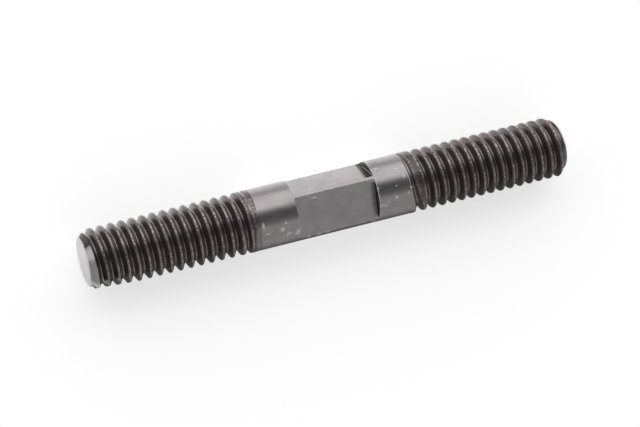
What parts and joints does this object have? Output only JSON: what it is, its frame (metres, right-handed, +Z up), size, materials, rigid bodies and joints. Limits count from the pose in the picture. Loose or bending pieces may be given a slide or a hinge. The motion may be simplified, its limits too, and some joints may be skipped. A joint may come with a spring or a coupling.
{
  "type": "threaded stud",
  "caption": "Steel stud, threaded at both ends, with a plain round middle that is milled to a square for a spanner.",
  "frame": {"origin": "centre of the stud's length, straight below its axis, on the surface that its thread crests lie on", "axes": "+X along the stud's axis, towards the end with the shorter thread; +Z up, with the stud rolled about X onto its heavy side, so the normal of its deepest flat leans from +Z towards -Y"},
  "size_m": [0.0474, 0.0058, 0.0058],
  "materials": {
    "steel": "oiled dark in the threads, bare and satin on the middle"
  },
  "bodies": {
    "root": {"stud": "steel"}
  },
  "joints": []
}
